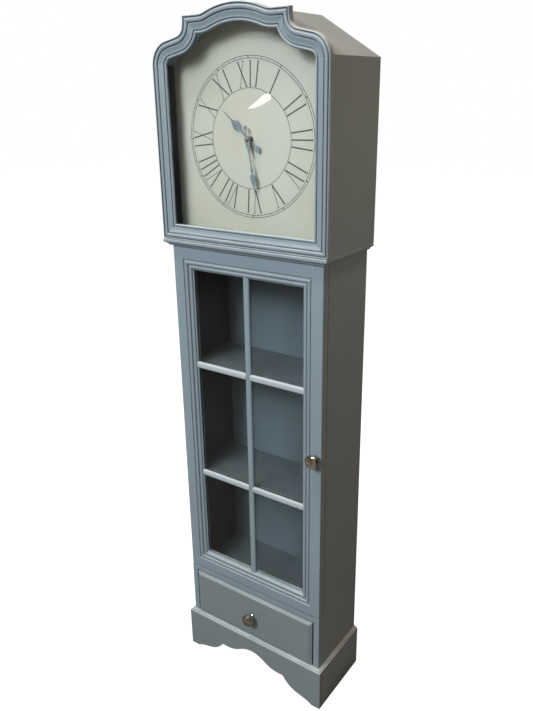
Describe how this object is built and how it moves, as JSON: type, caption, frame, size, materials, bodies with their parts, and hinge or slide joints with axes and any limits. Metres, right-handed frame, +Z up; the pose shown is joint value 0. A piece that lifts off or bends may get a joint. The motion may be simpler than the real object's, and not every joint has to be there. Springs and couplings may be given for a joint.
{
  "type": "clock cabinet",
  "caption": "Tall painted cabinet with a shaped plinth, a drawer, a glazed cupboard door and a clock behind glass in an arched hood.",
  "frame": {"origin": "on the floor, in the middle of the width and of the whole depth, knobs included", "axes": "+X to the right as seen from the front, +Y to the back, +Z up"},
  "size_m": [0.4316, 0.217, 1.6295],
  "materials": {
    "painted_wood": "satin paint",
    "raw_wood": "bare",
    "back_board": "bare fibreboard",
    "clear_glass": "polished",
    "dial_paint": "matt paint",
    "dial_ink": "matt ink",
    "hand_metal": "satin paint",
    "knob_metal": "polished",
    "brass": "satin",
    "steel": "satin",
    "black_plastic": "moulded",
    "battery_label": "gloss"
  },
  "bodies": {
    "case": {"plinth_front": "painted_wood", "plinth_side_left": "painted_wood", "plinth_side_right": "painted_wood", "plinth_back_rail": "raw_wood", "plinth_top": "painted_wood", "case_side_left": "painted_wood", "case_side_right": "painted_wood", "case_divider": "painted_wood", "case_top": "painted_wood", "case_back": "back_board", "shelf_upper": "painted_wood", "shelf_lower": "painted_wood", "shelf_pegs": "raw_wood", "case_screws": "steel", "drawer_runners": "raw_wood", "hinge_leaves_case": "brass", "hinge_pins": "brass", "catch_magnet": "black_plastic", "hood_floor": "painted_wood", "hood_side_left": "painted_wood", "hood_side_right": "painted_wood", "hood_roof_left": "painted_wood", "hood_roof_right": "painted_wood", "hood_roof_top": "painted_wood", "hood_back": "back_board", "hood_frame_bottom": "painted_wood", "hood_frame_left": "painted_wood", "hood_frame_right": "painted_wood", "hood_frame_arch": "painted_wood", "hood_glass": "clear_glass", "glass_clips": "steel", "dial_board": "dial_paint", "dial_print": "dial_ink", "movement_case": "black_plastic", "movement_nut": "brass", "battery": "battery_label"},
    "door": {"door_stile_left": "painted_wood", "door_stile_right": "painted_wood", "door_rail_top": "painted_wood", "door_rail_bottom": "painted_wood", "glazing_bar_upright": "painted_wood", "glazing_bars_cross": "painted_wood", "door_glass": "clear_glass", "door_glass_beads": "painted_wood", "door_knob": "knob_metal", "door_knob_screw": "steel", "hinge_leaves_door": "brass", "hinge_screws_door": "steel", "catch_plate": "steel"},
    "drawer": {"drawer_front": "painted_wood", "drawer_side_left": "raw_wood", "drawer_side_right": "raw_wood", "drawer_back": "raw_wood", "drawer_bottom": "back_board", "drawer_knob": "knob_metal", "drawer_knob_screw": "steel"},
    "minute_hand": {"minute_hand": "hand_metal", "hand_cap": "brass"},
    "hour_hand": {"hour_hand": "hand_metal"},
    "setting_wheel": {"time_setting_wheel": "black_plastic"}
  },
  "joints": [
    {"name": "door_swing", "type": "hinge", "parent": "case", "child": "door", "pos_m": [-0.2026, -0.0557, 0.707], "axis": [0, 0, -1], "range_deg": [0, 110]},
    {"name": "drawer_slide", "type": "slide", "parent": "case", "child": "drawer", "axis": [0, -1, 0], "range_m": [0, 0.12]},
    {"name": "minute_turn", "type": "hinge", "parent": "case", "child": "minute_hand", "pos_m": [0, -0.05, 1.3768], "axis": [0, 1, 0], "continuous": true},
    {"name": "hour_turn", "type": "hinge", "parent": "case", "child": "hour_hand", "pos_m": [0, -0.048, 1.3768], "axis": [0, 1, 0], "continuous": true},
    {"name": "setting_turn", "type": "hinge", "parent": "case", "child": "setting_wheel", "pos_m": [0.015, -0.017, 1.3768], "axis": [0, 1, 0], "continuous": true}
  ],
  "couplings": [
    {"joint": "hour_turn", "follows": "minute_turn", "ratio": 0.083333},
    {"joint": "setting_turn", "follows": "minute_turn", "ratio": -1}
  ]
}
